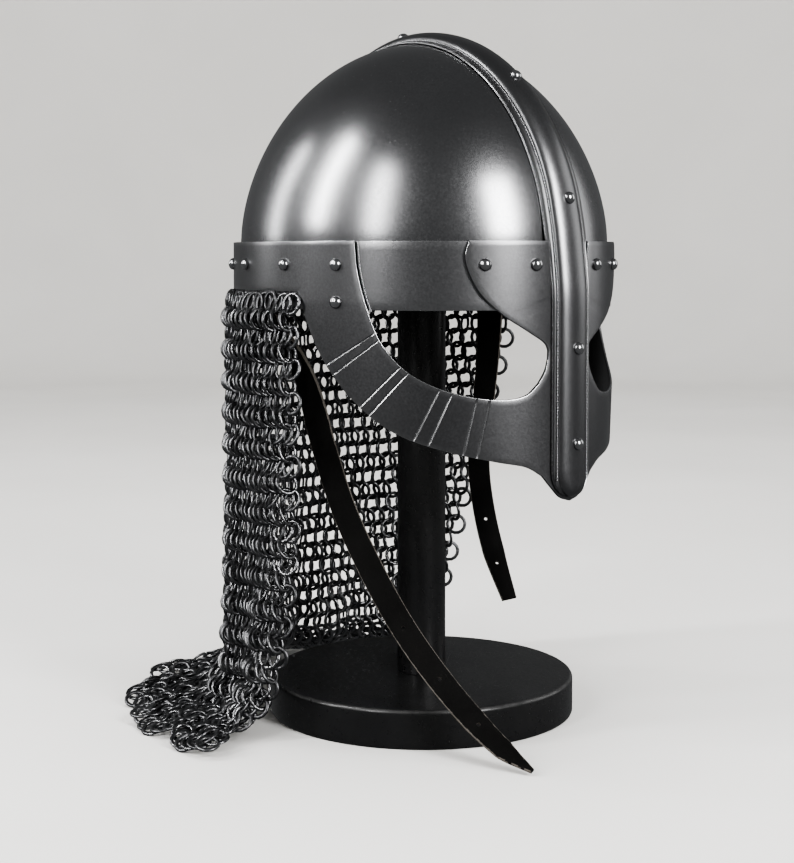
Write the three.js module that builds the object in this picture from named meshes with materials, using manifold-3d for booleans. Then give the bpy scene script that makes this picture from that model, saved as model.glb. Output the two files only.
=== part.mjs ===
// An iron spectacle helmet with a comb, a mail curtain and two chin straps, standing on a display stand.
// Millimetres. The origin is the centre of the stand's underside, +Z is up, the face looks along -Y,
// and the wearer's right is -X. Places on the helmet's wall are given by an angle in degrees, measured
// from the middle of the face round to the middle of the neck, and by a height.
import * as THREE from "three";
import { mergeGeometries, mergeVertices } from "three/addons/utils/BufferGeometryUtils.js";
import Module from "manifold-3d";

const GAP = 0.5; // air left between two pieces that touch on the real helmet
const PLATE = 1.6; // thickness of every iron plate

const SKULL = { halfLength: 107.3, halfWidth: 96.8, rim: 228, brow: 262, crown: 372, fullness: 1.8 };
const SKULL_DETAIL = { around: 40, upward: 8 };

// How far a plate's inner face stands outside the skull's outer face.
const BAND_OUT = GAP;
const GUARD_OUT = 2 * GAP + PLATE;
const BAND = { top: 262, foot: 227, frontGap: 13.2, columns: 28 };

// The guard draws in towards the cheeks below the brow: half-width lost, where it starts, over what fall.
const CHEEK = { draw: 6, from: 232, over: 82, power: 1.3 };
const GUARD = { top: 262 };
const GUARD_ACROSS = 3; // quads from one line of the ribbon to the other
// One half of the guard is a ribbon between two lines, given as [angle, height]. The rim runs along the
// top edge, round the eye and up the brow tab; the edge runs along the foot, round the cheek to the tip of
// the nasal and up the middle, where a notch lets the comb through.
const GUARD_LEGS = [
  { rim: [[180, 262], [64.5, 262]], edge: [[180, 236], [82.7, 236]], steps: 15 },
  {
    rim: [[64.5, 262], [63.8, 248], [61.3, 230], [57, 210], [50, 196], [41, 187.8], [32, 183.8],
      [22.5, 182.4], [16.5, 184.3], [12.3, 190]],
    edge: [[82.7, 236], [80, 221], [74, 198.6], [64.4, 178], [54, 164.8], [41, 156.8], [26, 151],
      [16.5, 147.7], [11.3, 143]],
    steps: 20,
  },
  { rim: [[12.3, 190], [9.8, 196.5], [8.8, 202]], edge: [[11.3, 143], [8, 137], [4, 131], [0, 129]], steps: 5 },
  { rim: [[8.8, 202], [8.6, 206.5]], edge: [[0, 129], [0, 200]], steps: 4 },
  { rim: [[8.6, 206.5], [9.6, 210], [14.5, 215.4], [20, 221]], edge: [[0, 200], [0, 234]], steps: 5 },
  { rim: [[20, 221], [23.3, 224.6]], edge: [[0, 234], [7.4, 234]], steps: 1 },
  { rim: [[23.3, 224.6], [29.6, 235], [33.2, 247], [34.1, 255], [33, 262]], edge: [[7.4, 234], [8.3, 262]], steps: 6 },
];

// The comb: a half-round ridge with a beaded edge on each side, on a flat strip.
// The half-width is given where the strip lies on the dome and where it lies on the face, and the strip is
// dished to a radius to lie on the skull.
const COMB = { ridge: 5.6, ridgeHalf: 8.4, beadHalf: 9.4, bead: 0.8, strip: 1.2, dish: 80, steps: 40 };
// The ridge's section: how full its curve is, and the parts of its half-width where the curve has a corner.
const COMB_RIDGE = { fullness: 2.2, corners: [0.35, 0.65, 0.88] };
const COMB_HALF = { dome: 15.5, face: 12.2 };
// The line of the comb's underside up the face, as [distance in front of the middle, height].
const COMB_FACE = [[112, 131], [112, 160], [112, 190], [112, 215], [111.8, 236], [110.8, 247],
  [109.5, 258], [108.1, 268]];
const COMB_DOME = { from: 10, to: 1.5, step: 10 }; // quarter turns over the dome, front and back
const COMB_TOE = { height: 131, rounding: 14 }; // the comb's rounded lower end

const RIVET = { head: 3.25, rise: 2.6, shank: 1.5, tail: 2.3, tailRise: 0.9, sides: 6, seat: 0.3, slack: 0.8 };
const RIVET_SHOULDER = { radius: 0.8, rise: 0.7 }; // where the domed head turns over, as shares of its own
const BAND_RIVETS = { height: 250, angles: [13, 28.5, 70, 88, 108.5, 127, 146, 165] };
const CHEEK_RIVET = { height: 231, angle: 70 };
const STRAP_RIVET_ANGLE = 108.5;
const COMB_RIVETS = [0.059, 0.163, 0.325, 0.481, 0.673, 0.83, 0.95]; // by fraction of the comb's run

// The mail curtain hangs from the band's lower margin and spreads on the table.
// Its mesh rows are drawn closer together, by the bunching, where it bends on to the table.
const MAIL = { top: 235.2, thickness: 3, out: 6, columns: 30, rows: 12, bunching: 0.32 };
// Down one column: a fall, a bend on to the table, and a spread that is longer behind than at the sides.
const MAIL_RUN = { fall: 203, bend: 24, turn: 78, spread: 21, moreBehind: 14 };
// The curtain's front edges: the right one drags backwards near the table, the left one leans all the way.
const MAIL_EDGES = { right: 84, drag: 14, dragBelow: 127, left: 260, lean: 25, leanOver: 176 };
const MAIL_FOLDS = { count: 6.5, depth: 4.5, lobes: 8.5, lobeRise: 1.6 };

const STRAP = { thickness: 2.2, holeRadius: 1, slack: 1.4 };
const STRAP_TURNS = [0.1, 0.4, 1]; // the shares of a strap's length at which it has each of its facings
// Each strap's middle line from its rivet to its free end, and its half-width along that line.
const RIGHT_STRAP = {
  route: [[-88, 32.8, 257], [-87.9, 32.7, 240], [-84.8, 25, 218], [-79.2, 7, 190.5], [-78.2, -9.4, 151.7],
    [-77.1, -23.8, 121.7], [-73.4, -40.9, 92.4], [-67.7, -59.9, 63.8], [-60.2, -77.9, 40.4],
    [-53.6, -96.3, 21.8], [-49.1, -112.8, 9.6], [-46.3, -129.1, 2.6]],
  half: [10, 9.6, 8.2, 6.9, 6.5, 6.5, 6.5, 6.5, 6.4, 6.2, 5.2, 1.2],
  faces: [[-1, 0.36, 0], [-0.74, -0.6, 0.2], [-0.52, -0.5, 0.68]],
  holes: [0.69, 0.79, 0.885],
};
const LEFT_STRAP = {
  route: [[88, 32.8, 257], [87.8, 32.6, 240], [85.4, 30.6, 218], [81.9, 28.4, 195.6], [77, 28.2, 160],
    [72.5, 26.8, 129], [69.6, 20, 104], [66.4, 8, 78], [61.5, -9.5, 53.5]],
  half: [10, 9.4, 8, 6.9, 6.5, 6.5, 6.5, 6.5, 4.4],
  faces: [[-1, -0.36, 0], [-0.8, -0.6, 0.15], [-0.5, -0.78, 0.3]],
  holes: [0.76, 0.89],
};
const STRAP_STEPS = 20;

const STAND = { radius: 85, height: 20.6, edge: 2.2, sides: 40 };
const POLE = { radius: 13.5, top: 368.4, rounding: 6.5, fullness: 0.7, sides: 24 };
const ROUNDED_EDGE = [0, 30, 60, 90]; // the corners of a rounded edge's quarter turn

const IRON = new THREE.MeshStandardMaterial({ color: 0x6f7073, roughness: 0.34, metalness: 1 });
const BRIGHT_IRON = new THREE.MeshStandardMaterial({ color: 0xa2a3a6, roughness: 0.22, metalness: 1 });
const MAIL_IRON = new THREE.MeshStandardMaterial({ color: 0x3a3a3c, roughness: 0.45, metalness: 1 });
const LEATHER = new THREE.MeshStandardMaterial({ color: 0x0e0d0d, roughness: 0.55, metalness: 0 });
const BLACK_WOOD = new THREE.MeshStandardMaterial({ color: 0x0b0b0c, roughness: 0.35, metalness: 0 });

const { degToRad, radToDeg, lerp } = THREE.MathUtils;
const X = new THREE.Vector3(1, 0, 0);
const Z = new THREE.Vector3(0, 0, 1);
const wasm = await Module();
wasm.setup();

// --- solids ---

// The geometry as a manifold-3d solid.
function solid(geometry) {
  const bare = geometry.clone();
  bare.deleteAttribute("normal");
  bare.deleteAttribute("uv");
  const merged = mergeVertices(bare, 1e-3);
  const vertProperties = new Float32Array(merged.attributes.position.array);
  const triVerts = new Uint32Array(merged.index.array);
  return new wasm.Manifold(new wasm.Mesh({ numProp: 3, vertProperties, triVerts }));
}

// A manifold-3d solid as a geometry again.
function geometryOf(made) {
  const mesh = made.getMesh();
  const geometry = new THREE.BufferGeometry();
  geometry.setAttribute("position", new THREE.BufferAttribute(new Float32Array(mesh.vertProperties), 3));
  geometry.setIndex(new THREE.BufferAttribute(new Uint32Array(mesh.triVerts), 1));
  geometry.computeVertexNormals();
  return geometry;
}

// The geometry with each of the cutters taken out of it.
function cut(geometry, cutters) {
  return geometryOf(cutters.reduce((rest, cutter) => rest.subtract(solid(cutter)), solid(geometry)));
}

// The skin between neighbouring rows of points, as two triangles for each four points.
function skin(rows, turned = false) {
  const columns = rows[0].length;
  const index = [];
  for (let i = 0; i + 1 < rows.length; i++) {
    for (let j = 0; j + 1 < columns; j++) {
      const [a, b] = [i * columns + j, (i + 1) * columns + j];
      index.push(...(turned ? [a, a + 1, b, b, a + 1, b + 1] : [a, b, a + 1, b, b + 1, a + 1]));
    }
  }
  return new THREE.BufferGeometry().setFromPoints(rows.flat()).setIndex(index);
}

// A sheet between an outer and an inner grid of points, closed along all four sides. A side that lies in
// the mirror plane stays open when the sheet is half of a mirrored piece.
function sheet(outer, inner, mirrored = false) {
  const last = outer.length - 1;
  const sides = [
    [outer[0], inner[0], true],
    [outer[last], inner[last], false],
    [outer.map((row) => row[0]), inner.map((row) => row[0]), false],
    [outer.map((row) => row.at(-1)), inner.map((row) => row.at(-1)), true],
  ];
  const skins = [skin(outer), skin(inner, true)];
  for (const [top, bottom, turned] of sides) {
    for (let i = 0; i + 1 < top.length; i++) {
      const inPlane = mirrored && Math.abs(top[i].x) < 1e-6 && Math.abs(top[i + 1].x) < 1e-6;
      if (!inPlane) skins.push(skin([top.slice(i, i + 2), bottom.slice(i, i + 2)], turned));
    }
  }
  return mergeGeometries(skins.map((piece) => piece.toNonIndexed()));
}

// Half a sheet together with its mirror image across the middle plane.
function mirroredSheet(outer, inner) {
  const right = sheet(outer, inner, true);
  const left = right.clone().scale(-1, 1, 1);
  const position = left.attributes.position;
  for (let i = 0; i < position.count; i += 3) {
    const [b, c] = [1, 2].map((k) => new THREE.Vector3().fromBufferAttribute(position, i + k));
    position.setXYZ(i + 1, ...c);
    position.setXYZ(i + 2, ...b);
  }
  return geometryOf(solid(mergeGeometries([right, left])));
}

// A bar whose section turns with it: rows of section points along the way, closed round and at both ends.
function bar(sections) {
  const rings = sections.map((ring) => [...ring, ring[0]]);
  const flatEnd = (ring, turned) => skin([[ring[0], ring[3]], [ring[1], ring[2]]], turned);
  const skins = [skin(rings), flatEnd(sections[0], false), flatEnd(sections.at(-1), true)];
  return geometryOf(solid(mergeGeometries(skins.map((piece) => piece.toNonIndexed()))));
}

// A solid of revolution about Z from a profile of [radius, height] points.
function turned(profile, sides) {
  const points = profile.map(([r, z]) => new THREE.Vector2(r, z));
  return new THREE.LatheGeometry(points, sides).rotateX(Math.PI / 2);
}

// --- the helmet's wall ---

// A point of the right half of a wall that stands a distance outside the skull.
function wallPoint(angle, z, out) {
  const turn = degToRad(angle);
  const drawn = CHEEK.draw * Math.max(0, (CHEEK.from - z) / CHEEK.over) ** CHEEK.power;
  const x = angle % 180 === 0 ? 0 : -(SKULL.halfWidth + out - drawn) * Math.sin(turn);
  return new THREE.Vector3(x, -(SKULL.halfLength + out) * Math.cos(turn), z);
}

// The level outward direction of the wall's right half.
function wallNormal(angle) {
  const turn = degToRad(angle);
  return new THREE.Vector3(-Math.sin(turn) / SKULL.halfWidth, -Math.cos(turn) / SKULL.halfLength, 0).normalize();
}

// The dome's outline in the middle plane, a distance outside the skull, as [radius, height] by a quarter
// turn's angle: upright at the brow, level at the crown.
function domeOutline(angle, out) {
  const turn = degToRad(angle);
  const climb = Math.sin(turn) ** (2 / SKULL.fullness);
  return [(SKULL.halfLength + out) * Math.cos(turn), SKULL.brow + (SKULL.crown - SKULL.brow + out) * climb];
}

function skullShape() {
  const quarter = Array.from({ length: SKULL_DETAIL.upward }, (_, i) => (i * 90) / SKULL_DETAIL.upward);
  const outside = [...quarter.map((angle) => domeOutline(angle, 0)), [0, SKULL.crown]];
  const inside = [...quarter.map((angle) => domeOutline(angle, -PLATE)), [0, SKULL.crown - PLATE]].reverse();
  const rim = [[inside.at(-1)[0], SKULL.rim], [outside[0][0], SKULL.rim]];
  const shape = turned([...inside, ...rim, ...outside], SKULL_DETAIL.around);
  return shape.scale(SKULL.halfWidth / SKULL.halfLength, 1, 1);
}

function bandShape() {
  const front = radToDeg(Math.asin(BAND.frontGap / SKULL.halfWidth));
  const angles = Array.from({ length: BAND.columns + 1 }, (_, i) => lerp(180, front, i / BAND.columns));
  const face = (out) => angles.map((angle) => [BAND.foot, BAND.top].map((z) => wallPoint(angle, z, out)));
  return mirroredSheet(face(BAND_OUT + PLATE), face(BAND_OUT));
}

function guardShape() {
  const spaced = (points, steps) =>
    new THREE.SplineCurve(points.map(([angle, z]) => new THREE.Vector2(angle, z))).getSpacedPoints(steps);
  const ribs = GUARD_LEGS.flatMap(({ rim, edge, steps }, leg) => {
    const feet = spaced(edge, steps);
    return spaced(rim, steps).map((top, i) => [feet[i], top]).slice(leg ? 1 : 0);
  });
  const face = (out) => ribs.map(([foot, top]) => Array.from({ length: GUARD_ACROSS + 1 }, (_, j) => {
    const place = foot.clone().lerp(top, j / GUARD_ACROSS);
    return wallPoint(place.x, place.y, out);
  }));
  return mirroredSheet(face(GUARD_OUT + PLATE), face(GUARD_OUT));
}

// --- the comb ---

function combLine() {
  const { from, to, step } = COMB_DOME;
  const rise = Array.from({ length: (90 - from) / step }, (_, i) => domeOutline(from + i * step, GAP));
  const fall = Array.from({ length: (90 - from) / step }, (_, i) => domeOutline(90 - (i + 1) * step, GAP));
  const crown = [0, SKULL.crown + GAP];
  const ahead = [...COMB_FACE, ...rise, crown].map(([y, z]) => new THREE.Vector3(0, -y, z));
  const behind = [...fall, domeOutline(to, GAP)].map(([y, z]) => new THREE.Vector3(0, y, z));
  return new THREE.CatmullRomCurve3([...ahead, ...behind], false, "centripetal");
}

// The outward direction of the comb at a fraction of its run.
function combNormal(line, at) {
  return line.getTangentAt(at).cross(X).negate().normalize();
}

function combShape(line) {
  const { ridge, ridgeHalf, beadHalf, bead, strip, dish } = COMB;
  const dished = (x, height) => [x, height - (x * x) / (2 * dish)];
  const crest = COMB_RIDGE.corners.map((part) =>
    dished(ridgeHalf * part, ridge * Math.sqrt(1 - part ** COMB_RIDGE.fullness)));
  const half = [
    dished(COMB_HALF.dome, 0),
    dished(COMB_HALF.dome, strip),
    dished(beadHalf + bead, strip),
    dished(beadHalf, strip + bead),
    dished(ridgeHalf, strip),
    ...crest.reverse(),
  ];
  const mirror = half.map(([x, h]) => [-x, h]).reverse();
  const underside = [-1, 0, 1].map((side) => dished((side * COMB_HALF.dome) / 2, 0));
  const outline = [...half, [0, ridge], ...mirror, ...underside];
  const section = new THREE.Shape(outline.map(([x, h]) => new THREE.Vector2(h, x)));
  const whole = new THREE.ExtrudeGeometry(section, { extrudePath: line, steps: COMB.steps, bevelEnabled: false });
  const trimHeight = GUARD.top + GAP;
  const trims = [-1, 1].map((side) => {
    const width = COMB_HALF.dome;
    const block = new THREE.BoxGeometry(width, SKULL.halfLength, trimHeight);
    return block.translate(side * (COMB_HALF.face + width / 2), -SKULL.halfLength, trimHeight / 2);
  });
  return cut(whole, [...trims, toeTrim()]);
}

// What is taken off the comb's lower end to round it: a slab with a half-ellipse out of its upper side.
function toeTrim() {
  const { height, rounding } = COMB_TOE;
  const [half, shoulder] = [COMB_HALF.dome + GAP, height + rounding];
  const slab = new THREE.Shape([
    new THREE.Vector2(-2 * half, shoulder),
    new THREE.Vector2(-2 * half, height - rounding),
    new THREE.Vector2(2 * half, height - rounding),
    new THREE.Vector2(2 * half, shoulder),
    new THREE.Vector2(COMB_HALF.face, shoulder),
  ]);
  slab.absellipse(0, shoulder, COMB_HALF.face, rounding, 0, Math.PI, true);
  const block = new THREE.ExtrudeGeometry(slab, { depth: SKULL.halfLength, bevelEnabled: false, curveSegments: 8 });
  return block.rotateX(Math.PI / 2).translate(0, -SKULL.halfLength / 2, 0);
}

// --- rivets ---

// A rivet's head, shank and hammered tail, along Z, with the head's seat at nought and the given grip.
function rivetShape(grip) {
  const { head, rise, shank, tail, tailRise, sides } = RIVET;
  const profile = [
    [0, -grip - tailRise],
    [tail, -grip - tailRise],
    [tail, -grip],
    [shank, -grip],
    [shank, 0],
    [head, 0],
    [head * RIVET_SHOULDER.radius, rise * RIVET_SHOULDER.rise],
    [0, rise],
  ];
  return turned(profile, sides);
}

// Every rivet as { name, seat, way, grip, through }: where its head sits, its outward direction, how far
// its tail lies below the seat, and the plates that it goes through.
function rivetList(line) {
  const wallGrip = GUARD_OUT + 2 * PLATE + RIVET.seat + RIVET.slack;
  const onWall = (name, angle, z) => {
    const strapped = angle === STRAP_RIVET_ANGLE;
    const grip = wallGrip + (strapped ? STRAP.thickness + STRAP.slack : 0);
    const through = ["skull", "brow_band", "guard", ...(strapped ? ["straps"] : [])];
    const seat = wallPoint(angle, z, GUARD_OUT + PLATE + RIVET.seat);
    return { name, seat, way: wallNormal(angle), grip, through };
  };
  const right = [
    ...BAND_RIVETS.angles.map((angle, i) => onWall(`band_rivet_right_${i + 1}`, angle, BAND_RIVETS.height)),
    onWall("cheek_rivet_right", CHEEK_RIVET.angle, CHEEK_RIVET.height),
  ];
  const mirror = (v) => new THREE.Vector3(-v.x, v.y, v.z);
  const left = right.map((rivet) => ({
    ...rivet,
    name: rivet.name.replace("right", "left"),
    seat: mirror(rivet.seat),
    way: mirror(rivet.way),
  }));
  const onComb = COMB_RIVETS.map((at, i) => {
    const way = combNormal(line, at);
    const base = line.getPointAt(at);
    const onFace = base.z < BAND.foot && base.y < 0;
    const seat = base.clone().addScaledVector(way, COMB.ridge + RIVET.seat);
    const grip = COMB.ridge + GAP + PLATE + RIVET.seat + RIVET.slack;
    return { name: `comb_rivet_${i + 1}`, seat, way, grip, through: ["comb", onFace ? "guard" : "skull"] };
  });
  return [...right, ...left, ...onComb];
}

// The hole that a rivet needs through the plates.
function rivetHole({ seat, way, grip }) {
  const radius = RIVET.shank + RIVET.seat;
  const hole = new THREE.CylinderGeometry(radius, radius, 2 * grip, RIVET.sides).rotateX(Math.PI / 2);
  hole.applyQuaternion(new THREE.Quaternion().setFromUnitVectors(Z, way));
  return hole.translate(...seat.clone().addScaledVector(way, -grip / 2));
}

// --- the mail curtain ---

// The middle surface of the mail, by the fraction of the way round and of the way down.
function mailPoint(round, down) {
  const { fall, bend, turn, spread, moreBehind } = MAIL_RUN;
  const { right, drag, dragBelow, left, lean, leanOver } = MAIL_EDGES;
  const arc = bend * degToRad(turn);
  const behind = Math.sin(Math.PI * round);
  const run = down * (fall + arc + spread + moreBehind * behind);
  const bent = Math.min(Math.max(run - fall, 0), arc) / bend;
  const spreadRun = Math.max(run - fall - arc, 0);
  const fallen = Math.min(run, fall) + bend * Math.sin(bent) + spreadRun * Math.cos(degToRad(turn));
  const outward = bend * (1 - Math.cos(bent)) + spreadRun * Math.sin(degToRad(turn));
  const level = MAIL.top - fallen;
  const rightEdge = right + drag * Math.max(0, 1 - level / dragBelow) ** 2;
  const leftEdge = left - (lean * Math.min(run, fall + arc)) / leanOver;
  const angle = degToRad(lerp(rightEdge, leftEdge, round));
  const fold = MAIL_FOLDS.depth * (fallen / MAIL.top) ** 2 * Math.sin(2 * Math.PI * MAIL_FOLDS.count * round);
  const lobe = (spreadRun / spread) * MAIL_FOLDS.lobeRise * (1 + Math.cos(2 * Math.PI * MAIL_FOLDS.lobes * round));
  const out = MAIL.out + outward + fold;
  const [x, y] = [-(SKULL.halfWidth + out) * Math.sin(angle), -(SKULL.halfLength + out) * Math.cos(angle)];
  return new THREE.Vector3(x, y, level + lobe);
}

function mailShape() {
  const { columns, rows, thickness } = MAIL;
  const step = 1e-3;
  const offset = (distance) => (round, down) => {
    const along = mailPoint(round + step, down).sub(mailPoint(round - step, down));
    const fall = mailPoint(round, down + step).sub(mailPoint(round, down - step));
    return mailPoint(round, down).addScaledVector(along.cross(fall).normalize(), distance);
  };
  const face = (place) => Array.from({ length: columns + 1 }, (_, i) =>
    Array.from({ length: rows + 1 }, (_, j) => place(i / columns, mailRow(j / rows))));
  return geometryOf(solid(sheet(face(offset(thickness / 2)), face(offset(-thickness / 2)))));
}

// How far down the curtain a mesh row lies, from its share of the rows.
function mailRow(part) {
  return part + MAIL.bunching * part * (1 - part);
}

// --- straps ---

function strapShape({ route, half, faces, holes }) {
  const line = new THREE.CatmullRomCurve3(route.map((point) => new THREE.Vector3(...point)), false, "centripetal");
  const widths = new THREE.SplineCurve(half.map((width, i) => new THREE.Vector2(i, width)));
  const facings = faces.map((face) => new THREE.Vector3(...face));
  const frame = (at) => {
    const tangent = line.getTangentAt(at);
    const span = at < STRAP_TURNS[1] ? 0 : 1;
    const turned = THREE.MathUtils.smoothstep(at, STRAP_TURNS[span], STRAP_TURNS[span + 1]);
    const face = facings[span].clone().lerp(facings[span + 1], turned);
    const normal = face.addScaledVector(tangent, -face.dot(tangent)).normalize();
    return { middle: line.getPointAt(at), normal, side: tangent.clone().cross(normal) };
  };
  const sections = Array.from({ length: STRAP_STEPS + 1 }, (_, i) => {
    const at = i / STRAP_STEPS;
    const { middle, normal, side } = frame(at);
    const width = widths.getPoint(line.getUtoTmapping(at)).y;
    return [[1, 1], [-1, 1], [-1, -1], [1, -1]].map(([across, up]) => middle.clone()
      .addScaledVector(side, across * width).addScaledVector(normal, (up * STRAP.thickness) / 2));
  });
  const punches = holes.map((at) => {
    const { middle, normal } = frame(at);
    const punch = new THREE.CylinderGeometry(STRAP.holeRadius, STRAP.holeRadius, 4 * STRAP.thickness, 8);
    punch.rotateX(Math.PI / 2).applyQuaternion(new THREE.Quaternion().setFromUnitVectors(Z, normal));
    return punch.translate(...middle);
  });
  return cut(bar(sections), punches);
}

// --- the stand ---

function baseShape() {
  const { radius, height, edge, sides } = STAND;
  const rounding = ROUNDED_EDGE.map(degToRad)
    .map((turn) => [radius - edge * (1 - Math.cos(turn)), height - edge * (1 - Math.sin(turn))]);
  return turned([[0, 0], [radius - edge / 2, 0], [radius, edge / 2], ...rounding, [0, height]], sides);
}

function poleShape() {
  const { radius, top, rounding, fullness, sides } = POLE;
  const crown = ROUNDED_EDGE.map(degToRad)
    .map((turn) => [radius * Math.cos(turn) ** fullness, top - rounding * (1 - Math.sin(turn))]);
  crown.at(-1)[0] = 0;
  const foot = STAND.height + RIVET.seat;
  return turned([[0, foot], [radius, foot], ...crown], sides);
}

// --- the assembly ---

const group = new THREE.Group();

function add(name, geometry, material) {
  const mesh = new THREE.Mesh(geometry, material);
  mesh.name = name;
  group.add(mesh);
  return mesh;
}

const comb = combLine();
const rivets = rivetList(comb);
const holesIn = (plate) => rivets.filter(({ through }) => through.includes(plate)).map(rivetHole);

add("skull", cut(skullShape(), holesIn("skull")), IRON);
add("brow_band", cut(bandShape(), holesIn("brow_band")), IRON);
add("guard", cut(guardShape(), holesIn("guard")), IRON);
add("comb", cut(combShape(comb), holesIn("comb")), IRON);
for (const { name, seat, way, grip } of rivets) {
  const rivet = add(name, rivetShape(grip), BRIGHT_IRON);
  rivet.position.copy(seat);
  rivet.quaternion.setFromUnitVectors(Z, way);
}
add("mail_curtain", mailShape(), MAIL_IRON);
add("chin_strap_right", cut(strapShape(RIGHT_STRAP), holesIn("straps")), LEATHER);
add("chin_strap_left", cut(strapShape(LEFT_STRAP), holesIn("straps")), LEATHER);
add("stand_base", baseShape(), BLACK_WOOD);
add("stand_pole", poleShape(), BLACK_WOOD);

export default group;
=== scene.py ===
import math

import bpy
import numpy as np
from mathutils import Euler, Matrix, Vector


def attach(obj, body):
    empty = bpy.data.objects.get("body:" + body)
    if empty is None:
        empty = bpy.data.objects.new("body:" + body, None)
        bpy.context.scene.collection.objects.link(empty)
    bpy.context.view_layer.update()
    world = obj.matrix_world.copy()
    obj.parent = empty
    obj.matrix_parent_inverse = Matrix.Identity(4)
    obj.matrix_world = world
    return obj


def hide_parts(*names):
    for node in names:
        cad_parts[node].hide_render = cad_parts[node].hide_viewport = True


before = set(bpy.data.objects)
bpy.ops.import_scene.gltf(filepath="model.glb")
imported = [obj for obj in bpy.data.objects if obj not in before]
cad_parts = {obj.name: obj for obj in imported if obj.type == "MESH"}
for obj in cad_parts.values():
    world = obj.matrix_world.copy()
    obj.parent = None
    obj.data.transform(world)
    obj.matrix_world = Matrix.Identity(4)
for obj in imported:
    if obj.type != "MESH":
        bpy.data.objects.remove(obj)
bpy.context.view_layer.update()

MM = 0.001

# --- sizes, as in the part's source ---

HALF_WIDTH, HALF_LENGTH = 96.8, 107.3  # the skull's, at the brow
RIM, BROW, CROWN = 228, 262, 372  # heights of the skull's rim, the brow and the crown
FULLNESS = 1.8  # of the dome's outline: 2 would be an ellipse
PLATE = 1.6
CHEEK_DRAW, CHEEK_FROM, CHEEK_OVER, CHEEK_POWER = 6, 232, 82, 1.3
BAND_OUT, GUARD_OUT = 0.5, 2.6  # how far the inner faces stand off the skull


# --- numbers to shapes ---


def curve(points, at):
    """The points at the given shares of the length of a smooth curve through the control points. Between
    two of them, b and c, it is the cubic that leaves b and reaches c with centripetal Catmull-Rom slopes:
    (b-a)/g0 - (c-a)/(g0+g1) + (c-b)/g1, where g is the square root of the gap between two points."""
    p = np.asarray(points, float)
    spans = len(p) - 1
    p = np.vstack([2 * p[0] - p[1], p, 2 * p[-1] - p[-2]])
    gap = np.maximum(np.linalg.norm(np.diff(p, axis=0), axis=1), 1e-9)[:, None] ** 0.5
    t = np.linspace(0, spans, 48 * spans + 1)
    k = np.minimum(t.astype(int), spans - 1)
    w = (t - k)[:, None]
    a, b, c, d = p[k], p[k + 1], p[k + 2], p[k + 3]
    g0, g1, g2 = gap[k], gap[k + 1], gap[k + 2]
    leave = ((b - a) / g0 - (c - a) / (g0 + g1) + (c - b) / g1) * g1
    reach = ((c - b) / g1 - (d - b) / (g1 + g2) + (d - c) / g2) * g1
    dense = ((2 * w**3 - 3 * w**2 + 1) * b + (w**3 - 2 * w**2 + w) * leave
             + (3 * w**2 - 2 * w**3) * c + (w**3 - w**2) * reach)
    run = np.append(0, np.cumsum(np.linalg.norm(np.diff(dense, axis=0), axis=1)))
    return np.stack([np.interp(at, run / run[-1], dense[:, i]) for i in range(dense.shape[1])], -1)


def eased(value, low, high):
    """0 below low, 1 above high, and 3t^2 - 2t^3 between."""
    t = np.clip((value - low) / (high - low), 0, 1)
    return t * t * (3 - 2 * t)


def unit(v):
    return v / np.linalg.norm(v, axis=-1, keepdims=True)


def wall(angle, z, out):
    """A point of the helmet's wall: an ellipse by the angle, a distance outside the skull. Below the brow
    its half-width shrinks by 6 ((232 - z) / 82) to the power 1.3, as the cheeks draw in."""
    turn = np.radians(angle)
    drawn = CHEEK_DRAW * np.maximum(0, (CHEEK_FROM - z) / CHEEK_OVER) ** CHEEK_POWER
    x = -(HALF_WIDTH + out - drawn) * np.sin(turn)
    y = -(HALF_LENGTH + out) * np.cos(turn)
    return np.stack(np.broadcast_arrays(x, y, z), -1)


def wall_way(angle):
    """The level outward direction of the wall: the ellipse's own normal."""
    turn = np.radians(angle)
    return unit(np.array([-np.sin(turn) / HALF_WIDTH, -np.cos(turn) / HALF_LENGTH, 0]))


def dome_line(quarter, out):
    """The dome's outline in the middle plane by a quarter turn's angle q, as distance from the axis and
    height: (107.3 + out) cos q, and 262 + (110 + out) (sin q) to the power 2 / 1.8."""
    q = np.radians(quarter)
    rise = (CROWN - BROW + out) * np.sin(q) ** (2 / FULLNESS)
    return (HALF_LENGTH + out) * np.cos(q), BROW + rise


def grid(rows, columns, round_rows=False, round_columns=False):
    """The two triangles of every four neighbours in a grid of points numbered row by row."""
    i = np.arange(rows if round_rows else rows - 1)[:, None]
    j = np.arange(columns if round_columns else columns - 1)[None, :]
    i2, j2 = (i + 1) % rows, (j + 1) % columns
    a, b, c, d = (u * columns + v for u, v in ((i, j), (i2, j), (i2, j2), (i, j2)))
    return np.concatenate([np.stack([a, b, c], -1).reshape(-1, 3), np.stack([a, c, d], -1).reshape(-1, 3)])


def weld(points, triangles, *marks):
    """Points within a few thousandths of a millimetre become one, and triangles that lose a corner go."""
    _, first, place = np.unique(np.round(points / 0.004), axis=0, return_index=True, return_inverse=True)
    t = place.reshape(-1)[triangles]
    whole = (t[:, 0] != t[:, 1]) & (t[:, 1] != t[:, 2]) & (t[:, 2] != t[:, 0])
    return (points[first], t[whole], *(mark[first] for mark in marks))


def outward(points, triangles):
    """Turns all the triangles round if the volume that they close comes out negative."""
    a, b, c = (points[triangles[:, k]] for k in range(3))
    return triangles if np.sum(a * np.cross(b, c)) > 0 else triangles[:, ::-1]


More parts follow.
